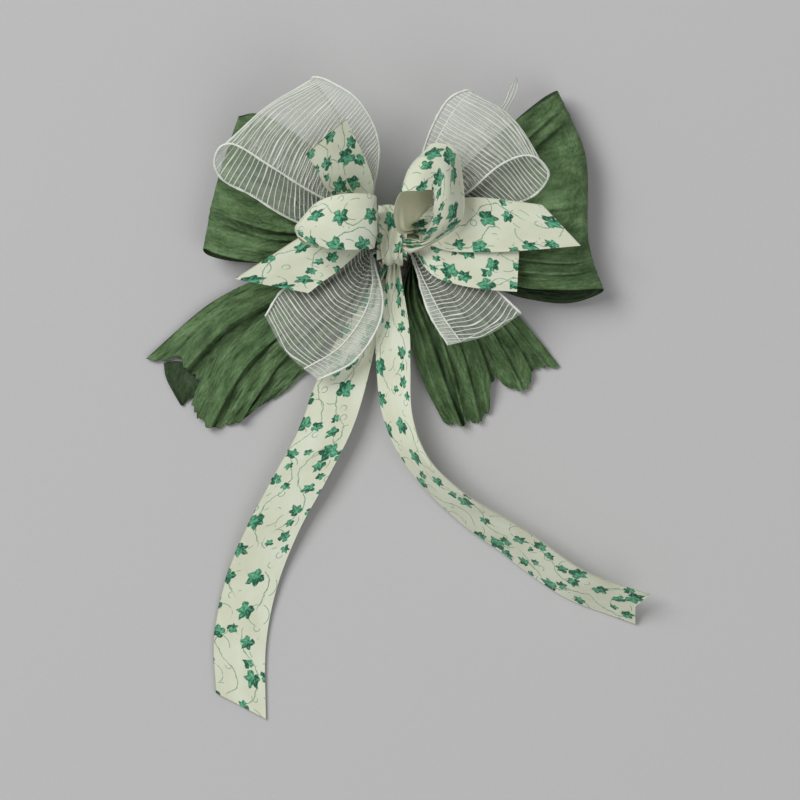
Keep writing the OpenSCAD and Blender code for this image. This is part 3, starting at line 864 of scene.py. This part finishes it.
    "cotton_tail_right": [
        [(0.0095, -0.002, 0.0248), (0.024, -0.009, 0.0295), (0.044, -0.01, 0.0315),
         (0.064, -0.009, 0.0315), (0.086, -0.007, 0.03)],
        [(0.0095, 0.005, 0.0248), (0.022, 0.013, 0.03), (0.038, 0.015, 0.0325), (0.054, 0.0135, 0.033),
         (0.0685, 0.0115, 0.033)],
    ],
    "cotton_tail_lower_right": [
        [(0.0095, -0.009, 0.0225), (0.018, -0.02, 0.0265), (0.029, -0.0245, 0.028),
         (0.043, -0.027, 0.0285), (0.057, -0.028, 0.0275)],
        [(0.0095, -0.002, 0.0225), (0.02, -0.004, 0.0265), (0.034, -0.003, 0.0285),
         (0.046, -0.0045, 0.029), (0.058, -0.009, 0.0285)],
    ],
    "long_tail_left": [
        [(-0.006, -0.019, 0.0105), (-0.02, -0.04, 0.0095), (-0.034, -0.067, 0.0095),
         (-0.043, -0.091, 0.0095), (-0.055, -0.113, 0.0085), (-0.068, -0.138, 0.0055),
         (-0.077, -0.161, 0.0025), (-0.082, -0.187, 0.0014), (-0.081, -0.212, 0.0012)],
        [(0, -0.019, 0.0105), (-0.005, -0.04, 0.0095), (-0.011, -0.067, 0.0095),
         (-0.018, -0.09, 0.0095), (-0.03, -0.114, 0.0085), (-0.043, -0.138, 0.0055),
         (-0.053, -0.164, 0.0025), (-0.058, -0.191, 0.0014), (-0.058, -0.224, 0.0012)],
    ],
    "long_tail_right": [
        [(-0.002, -0.019, 0.0145), (-0.007, -0.045, 0.0135), (-0.007, -0.064, 0.013),
         (-0.004, -0.085, 0.012), (0.006, -0.106, 0.0105), (0.024, -0.127, 0.006),
         (0.05, -0.147, 0.003), (0.08, -0.168, 0.0015), (0.112, -0.18, 0.0012)],
        [(0.004, -0.019, 0.0145), (0.008, -0.045, 0.0145), (0.0085, -0.063, 0.0155),
         (0.0095, -0.085, 0.019), (0.017, -0.104, 0.022), (0.033, -0.12, 0.023),
         (0.061, -0.137, 0.021), (0.089, -0.156, 0.0185), (0.118, -0.166, 0.017)],
    ],
}


def lofted(name, look):
    """Base grid of a ribbon, the direction out of its good face, and its length from the knot.

    The length has one value for each row of the grid."""
    loop = is_loop(name)
    grid = loft(into_knot(RAILS[name], loop), look["cell"], look["across"])
    if name in CUT_ENDS:
        grid = trimmed(grid, CUT_ENDS[name], 0.0026 if name in PAPER_RIBBONS else 0)
    return grid, facing(grid, loop), from_knot(grid, loop)


def pushed_out(grid, up, out):
    """The grid moved by out along up, and kept off the floor."""
    grid = grid + up * out[..., None]
    grid[..., 2] = np.maximum(grid[..., 2], LOWEST)
    return grid


def is_loop(name):
    return "_loop_" in name


# share of their height that a paper loop's folds keep on its back layer
BACK_FOLDS = 0.4


def paper_ribbon(name, seed):
    """One paper ribbon with its pleats, creases and folds: its grid and its cloth."""
    look = PAPER_LOOK
    grid, up, distance = lofted(name, look)
    swell = rise(distance, 0.004, 0.03)[:, None]
    out = pleated(grid, distance, PAPER_WIDTH, look["pleats"], seed)
    calm, firm = 1, 1
    if is_loop(name):
        bend = distance.max()
        calm = 1 - 0.85 * rise(distance, bend - 0.024, bend - 0.008)[:, None]
        firm = 1 - 0.85 * rise(distance, bend - 0.016, bend - 0.006)[:, None]
        run = middle_run(grid)
        front = rise(run, 0.45 * run[-1], 0.55 * run[-1])[:, None]
        firm = firm * (BACK_FOLDS + (1 - BACK_FOLDS) * front)
    creases = crinkled(grid, seed) * calm + lapped(grid, distance, FOLDS[name], seed) * firm
    out = out * calm + creases * swell
    grid = pushed_out(grid, up, out)
    up = facing(grid, is_loop(name))
    uvs = place_uvs(grid, PAPER_WIDTH, seed * 0.31)
    # the reverse face and rim take the paper painted darker as shade
    return grid, leaf_of_cloth(name + "_paper", grid, up, uvs, [PAPER, PAPER_SHADED_BACK])


def paper_flap():
    """Corner of the lower left paper tail that is folded under and points out below its notch."""
    near = [(-0.1050, -0.0600, 0.0012), (-0.0960, -0.0600, 0.0014), (-0.0885, -0.0690, 0.0012)]
    middle = [(-0.1035, -0.0680, 0.0008), (-0.0975, -0.0690, 0.0016), (-0.0905, -0.0740, 0.0009)]
    tip = [(-0.0972, -0.0795, 0.0007), (-0.0962, -0.0800, 0.0008), (-0.0950, -0.0785, 0.0007)]
    rails = [list(line) for line in zip(near, middle, tip)]
    grid = loft(rails, 0.0006, 24)
    up = facing(grid, False)
    grid = pushed_out(grid, up, crinkled(grid, 7) * 0.35)
    uvs = place_uvs(grid, 0.016, 0.2)
    # the flap's face takes the paper painted darker as shade
    flap = leaf_of_cloth("paper_tail_left_flap", grid, up, uvs, [PAPER_SHADED_BACK, PAPER])
    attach(flap, "paper_tail_left")
    return flap


def cotton_ribbon(name, seed):
    """One cotton ribbon with its pleats: its grid and its cloth."""
    look = COTTON_LOOK
    grid, up, distance = lofted(name, look)
    run = lengths(grid[:, 0])[:, None] / MM
    across = np.linspace(0, 1, grid.shape[1])[None, :]
    soft = noise(run / 14, across * 2.2, seed) * 0.35 * MM * rise(distance, 0.004, 0.02)[:, None]
    out = pleated(grid, distance, COTTON_WIDTH, look["pleats"], seed) + soft
    grid = pushed_out(grid, up, out)
    up = facing(grid, is_loop(name))
    uvs = place_uvs(grid, COTTON_WIDTH, seed * 0.083)
    return grid, leaf_of_cloth(name + "_cotton", grid, up, uvs, [PRINTED, PLAIN])


def threads_across(name, grid, run, seed):
    """Paths and radii of the thick threads that cross a sheer ribbon from edge to edge."""
    rows, columns = grid.shape[:2]
    lean, sag = THREAD_DRIFT[name]
    every = np.arange(0, columns, 2)
    side = every / (columns - 1) - 0.5
    rng = np.random.default_rng(seed)
    paths, radii = [], []
    for line in np.arange(0.006 - abs(lean) / 2, run[-1] + abs(lean) / 2, THREAD_PITCH):
        turn = math.tanh((line - run[-1] / 2) / 0.03) if is_loop(name) else 1
        drift = -lean * side * turn + sag * (1 - (2 * side) ** 2)
        jitter = noise(np.full(len(every), line * 400), every / 7.0, seed + 5) * 0.0004
        jitter += noise(np.full(len(every), line * 55), every / 9.0, seed + 8) * 0.0012
        place = line + drift + jitter
        kept = (place > 0.005) & (place < run[-1] - 0.0004)
        radius = rng.uniform(0.00017, 0.00024)
        if kept.sum() < 4:
            continue
        at = np.interp(place[kept], run, np.arange(rows))
        row = np.minimum(at.astype(int), rows - 2)
        share = (at - row)[:, None]
        column = every[kept]
        paths.append(grid[row, column] * (1 - share) + grid[row + 1, column] * share)
        slub = np.exp(-(((np.arange(len(at)) - rng.uniform(0, 40)) / 1.6) ** 2))
        radii.append(radius * (1 + slub))
    if name in TURNED_EDGES:
        first, last = TURNED_EDGES[name]
        strip = [path + [0, 0, 0.0006] for path in paths]
        paths += [path[-5:] if first > 0 else path[:4] for path in strip if len(path) > 12]
        radii += [0.0002] * (len(paths) - len(radii))
        paths.append(grid[:, first if first > 0 else last - 1] + [0, 0, 0.0006])
        radii.append(0.00034 * (1 + 0.3 * noise(run / 0.003, run * 0, seed + 9)))
    return paths, radii


def sheer_ribbon(name, seed, width=SHEER_WIDTH):
    """Gauze sheet, with its corded stripes and edges as a second piece."""
    look = dict(SHEER_LOOK, **SHEER_END_LOOK) if name == "sheer_end" else SHEER_LOOK
    grid, up, distance = lofted(name, look)
    run = middle_run(grid)
    across = np.linspace(0, 1, grid.shape[1])[None, :]
    soft = noise(run[:, None] / MM / 16, across * 3, seed) * 0.7 * MM
    soft = soft * rise(distance, 0.004, 0.025)[:, None]
    out = pleated(grid, distance, width, look["pleats"], seed) + soft
    grid = pushed_out(grid, up, out)
    up = facing(grid, is_loop(name))
    uvs = place_uvs(grid, width, seed * 0.13)
    rows, columns = grid.shape[:2]
    flip = turned_over(grid, up)
    points, faces, flat = [grid.reshape(-1, 3)], [grid_faces(rows, columns, 0, flip)], [uvs.reshape(-1, 2)]
    if name in TURNED_EDGES:
        first, last = TURNED_EDGES[name]
        part = grid[:, first:last] + up[:, first:last] * 0.0004
        points.append(part.reshape(-1, 3))
        faces.append(grid_faces(rows, last - first, rows * columns, flip))
        flat.append(uvs[:, first:last].reshape(-1, 2))
    parts = np.repeat([0, 1], [len(faces[0]), sum(len(part) for part in faces[1:])])
    shades = [FOLDED if name == "sheer_end" else SHEER, FOLDED]
    points, faces, flat = (np.concatenate(part) for part in (points, faces, flat))
    gauze = mesh_object(name + "_gauze", points, faces, flat, parts, shades)
    paths, radii = [], []
    if name != "sheer_end":
        paths, radii = threads_across(name, grid, run, seed)
    edge = 0.00016 if name == "sheer_end" else 0.00052
    for j in (0, columns - 1):
        fluff = 1 + 0.3 * noise(run / 0.0016, run * 0 + j, seed + 6)
        paths.append(grid[:, j] + up[:, j] * 0.0005)
        radii.append(edge * fluff)
    cords = tubes(name + "_cords", paths, radii, CORD, 6)
    return grid, gauze, cords


PAPER_RIBBONS = ["paper_loop_left", "paper_loop_right", "paper_tail_left", "paper_tail_right"]
SHEER_RIBBONS = ["sheer_loop_left", "sheer_loop_right", "sheer_tail_left", "sheer_tail_right", "sheer_end"]
COTTON_RIBBONS = [
    "cotton_loop_left", "cotton_loop_right", "cotton_tail_upper_left", "cotton_tail_left",
    "cotton_tail_right", "cotton_tail_lower_right", "long_tail_left", "long_tail_right",
]


def make_ribbons():
    for number, name in enumerate(PAPER_RIBBONS):
        grid, cloth = paper_ribbon(name, 11 + number)
        bend_at_knot(cloth, RAILS[name][0][0])
        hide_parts(name)
        # the area that is declared can't be more than that of the flat ribbon
        extra = [paper_flap()] if name == "paper_tail_left" else []
    for number, name in enumerate(COTTON_RIBBONS):
        grid, cloth = cotton_ribbon(name, 31 + number)
        bend_at_knot(cloth, RAILS[name][0][0])
        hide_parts(name)
    for number, name in enumerate(SHEER_RIBBONS):
        folded = name == "sheer_end"
        width = SHEER_END_PLEATED if folded else SHEER_WIDTH
        grid, gauze, cords = sheer_ribbon(name, 51 + number, width)
        for piece in (gauze, cords):
            bend_at_knot(piece, RAILS[name][0][0])
        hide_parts(name)


# ---------------------------------------------------------------- knot


def rounded(count):
    """Points round a square with well-rounded corners and half sides of 1, starting at the back."""
    turn = np.linspace(0, 2 * math.pi, 721)
    power = 0.42
    y = np.sign(np.sin(turn)) * np.abs(np.sin(turn)) ** power
    z = -np.sign(np.cos(turn)) * np.abs(np.cos(turn)) ** power
    line = np.stack([y, z], axis=1)
    run = lengths(line)
    at = np.linspace(0, run[-1], count)
    return np.stack([np.interp(at, run, line[:, k]) for k in range(2)], axis=1)


def centre_band():
    """Cotton strip wrapped round the knot, its edges turned under and its middle pulled into folds."""
    low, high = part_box("centre_band")
    middle = (np.array(low) + np.array(high)) / 2
    half = (np.array(high) - np.array(low)) / 2
    across = 48
    share = np.linspace(0, 1, across + 1)
    profile_x = np.interp(share, [0, 0.2, 0.24, 0.76, 0.8, 1], [-1.5, -6.0, -6.2, 4.6, 4.4, 0.5])
    depth = np.interp(share, [0, 0.2, 0.26, 0.74, 0.8, 1], [1.2, 1.1, 0.2, 0.2, 1.1, 1.2])
    rows = 180
    ring = rounded(rows)
    ahead = np.gradient(ring * half[1:], axis=0)
    out = unit(np.stack([-ahead[:, 1], ahead[:, 0]], axis=1))
    if np.mean(np.sum(out * ring, axis=1)) < 0:
        out = -out
    around = np.linspace(0, 1, rows)[:, None]
    wobble = noise(around * 5, share[None, :] * 2.5, 5) * 0.9
    folds = np.sin(2 * math.pi * (share[None, :] * 3.1 + wobble))
    top = rise(share, 0.22, 0.3) * (1 - rise(share, 0.7, 0.78))
    back = rise(np.abs(around - 0.5), 0.36, 0.46)
    push = -depth[None, :] - (0.5 - 0.5 * folds) * 1.1 * top[None, :] * (1 - 0.8 * back)
    push = push * MM
    ring_y = middle[1] + ring[:, 0] * half[1]
    ring_z = middle[2] + ring[:, 1] * half[2]
    pinch = 1 - 0.16 * rise(-ring[:, 0], -0.4, 1)[:, None] - 0.12 * rise(ring[:, 0], 0.3, 1)[:, None]
    slant = -0.9 * ring[:, 0][:, None]
    x = (profile_x[None, :] * pinch + slant + noise(around * 9, share[None] * 3, 8) * 0.4) * MM
    x = np.clip(x, low[0], high[0])
    y = ring_y[:, None] + out[:, :1] * push
    z = ring_z[:, None] + out[:, 1:] * push
    grid = np.stack([x, y, z], axis=2)
    up = normals(grid)
    centre = np.array([0, middle[1], middle[2]])
    flat = (grid - centre) * np.array([0, 1, 1])
    if np.mean(np.sum(up * flat, axis=2)[:, across // 2]) < 0:
        up = -up
    uvs = place_uvs(grid, COTTON_WIDTH, 0.71)
    band = leaf_of_cloth("centre_band_cotton", grid, up, uvs, [PRINTED, PLAIN])
    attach(band, "knot")
    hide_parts("centre_band")


# share of a gathered middle's length that its folds fill, so that their ends stay inside the knot
BUNDLE_SHARE = 0.86


def bundle(name, node, shade, pleats, depth, seed):
    """Middle of a ribbon squeezed into a block of pleats inside the knot."""
    low, high = (np.array(c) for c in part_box(node))
    middle, half = (low + high) / 2, (high - low) / 2
    around, along = 160, 24
    ring = rounded(around + 1)[:-1]
    turn = np.arange(around) / around
    xs = np.linspace(-1, 1, along)
    rib = np.abs(np.sin(math.pi * pleats * turn[None, :] + noise(xs[:, None] * 2, turn[None, :] * 9, seed)))
    shrink = 1 - depth * (1 - rib)
    shrink = shrink * (1 - 0.10 * (1 - xs[:, None] ** 2))
    y = middle[1] + half[1] * ring[None, :, 0] * shrink
    z = middle[2] + half[2] * ring[None, :, 1] * shrink
    x = np.broadcast_to(middle[0] + BUNDLE_SHARE * half[0] * xs[:, None], y.shape)
    points = np.stack([x, y, z], axis=2).reshape(-1, 3)
    faces = grid_faces(along, around, 0, True, True).tolist()
    faces.append(list(range(around)))
    faces.append(list(range((along - 1) * around, along * around))[::-1])
    uvs = np.stack([np.repeat(xs * half[0], around), np.tile(turn * 0.08, along)], axis=1)
    obj = mesh_object(name, points, faces, uvs, None, [shade])
    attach(obj, "knot")
    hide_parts(node)


def helix(start, end, radius, turns, phase):
    """Points of a strand wound round the line from start to end."""
    start, end = np.array(start), np.array(end)
    share = np.linspace(0, 1, int(turns * 14) + 2)[:, None]
    ahead = unit((end - start)[None, :])[0]
    one = unit(np.cross(ahead, [0, 0, 1.0])[None, :])[0]
    two = np.cross(ahead, one)
    turn = share * turns * 2 * math.pi + phase
    return start + (end - start) * share + (one * np.cos(turn) + two * np.sin(turn)) * radius


def tie_wire():
    """Paper-covered wire round the knot, twisted tight below it."""
    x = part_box("tie_wire")[1][0] - WIRE_RADIUS
    count = 90
    y, z = rounded(count).T
    ring_line = np.stack([np.full(count, x), KNOT_Y + y * 0.0100, KNOT_Z + z * 0.0118], axis=1)
    ring_line[:, 0] += noise(np.arange(count) / 9.0, np.zeros(count), 3) * 0.0003
    foot = [
        (x, -0.0120, 0.0062),
        (x, -0.0150, 0.0036),
        (x - 0.0006, -0.0163, 0.0035),
        (x - 0.002, -0.0170, 0.0035),
    ]
    foot = spline(np.array(foot), np.linspace(0, len(foot) - 1, 16))
    a, b = (x - 0.0018, -0.017, 0.0035), (-0.0019, -0.017, 0.0035)
    paths = [ring_line, foot, helix(a, b, 0.0004, 4.5, 0), helix(a, b, 0.0004, 4.5, math.pi)]
    radii = [WIRE_RADIUS, WIRE_RADIUS, 0.00042, 0.00042]
    wire = tubes("tie_wire_cover", paths, radii, WIRE, 10)
    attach(wire, "knot")
    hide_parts("tie_wire")


LEG_LENGTH = 0.042
LEG_SPREAD = math.radians(17)


def wire_leg(name, start, side, seed):
    """Free leg of the tie wire, nearly straight."""
    count = 40
    run = np.linspace(0, LEG_LENGTH, count)
    spread = LEG_SPREAD * side
    ahead = np.array([math.sin(spread), -math.cos(spread), 0])
    aside = np.array([ahead[1], -ahead[0], 0])
    sway = noise(run / 0.011, np.zeros(count), seed) * 0.0006 * rise(run, 0, 0.012)
    line = np.array(start) + ahead * run[:, None] + aside * sway[:, None]
    leg = tubes(name + "_cover", [line], [WIRE_RADIUS], WIRE, 10)
    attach(leg, name)
    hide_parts(name)


def make_knot():
    bundle("paper_waist_folds", "paper_waist", PAPER, 15, 0.06, 71)
    bundle("sheer_waist_folds", "sheer_waist", CORD, 17, 0.05, 72)
    bundle("cotton_waist_folds", "cotton_waist", PRINTED, 11, 0.06, 73)
    centre_band()
    tie_wire()
    wire_leg("wire_leg_left", (-0.002, -0.0204, 0.0009), -1, 81)
    wire_leg("wire_leg_right", (0.004, -0.0204, 0.0009), 1, 82)


# ---------------------------------------------------------------- studio


SENSOR = 36
CAMERA_DISTANCE = 3.0
VIEW_WIDTH = 0.368
FLOOR_LEVEL = -0.0003
FLOOR_HALF = 3
BOW_MIDDLE = (0.003, -0.077, 0.0)


def area_light(name, place, size, power):
    """Soft square light that points at the middle of the bow."""
    light = bpy.data.lights.new(name, "AREA")
    light.size = size
    light.energy = power
    lamp = bpy.data.objects.new(name, light)
    lamp.location = place
    direction = np.array(BOW_MIDDLE) - np.array(place)
    lamp.rotation_euler = Vector(direction).to_track_quat("-Z", "Y").to_euler()
    bpy.context.collection.objects.link(lamp)


def make_studio():
    """Camera straight above the bow, pale floor, plain surroundings and two soft lights."""
    camera = bpy.data.cameras.new("camera")
    camera.sensor_width = SENSOR
    camera.lens = SENSOR * CAMERA_DISTANCE / VIEW_WIDTH
    camera.clip_end = 20
    holder = bpy.data.objects.new("camera", camera)
    holder.location = (0.0037, -0.0773, CAMERA_DISTANCE)
    bpy.context.collection.objects.link(holder)
    bpy.context.scene.camera = holder

    corners = [(-1, -1), (1, -1), (1, 1), (-1, 1)]
    points = [(x * FLOOR_HALF, y * FLOOR_HALF, FLOOR_LEVEL) for x, y in corners]
    floor = mesh_object("floor", points, [(0, 1, 2, 3)], materials=[FLOOR])

    world = bpy.data.worlds.new("studio")
    world.use_nodes = True
    world.node_tree.nodes["Background"].inputs["Color"].default_value = (1, 1, 1, 1)
    world.node_tree.nodes["Background"].inputs["Strength"].default_value = 0.30
    bpy.context.scene.world = world
    area_light("key", (-2.3, 1.7, 3.5), 2.4, 155)
    area_light("fill", (1.6, -2.0, 3.6), 3.0, 38)
    bpy.context.scene.view_settings.view_transform = "Standard"


make_studio()
make_ribbons()
make_knot()
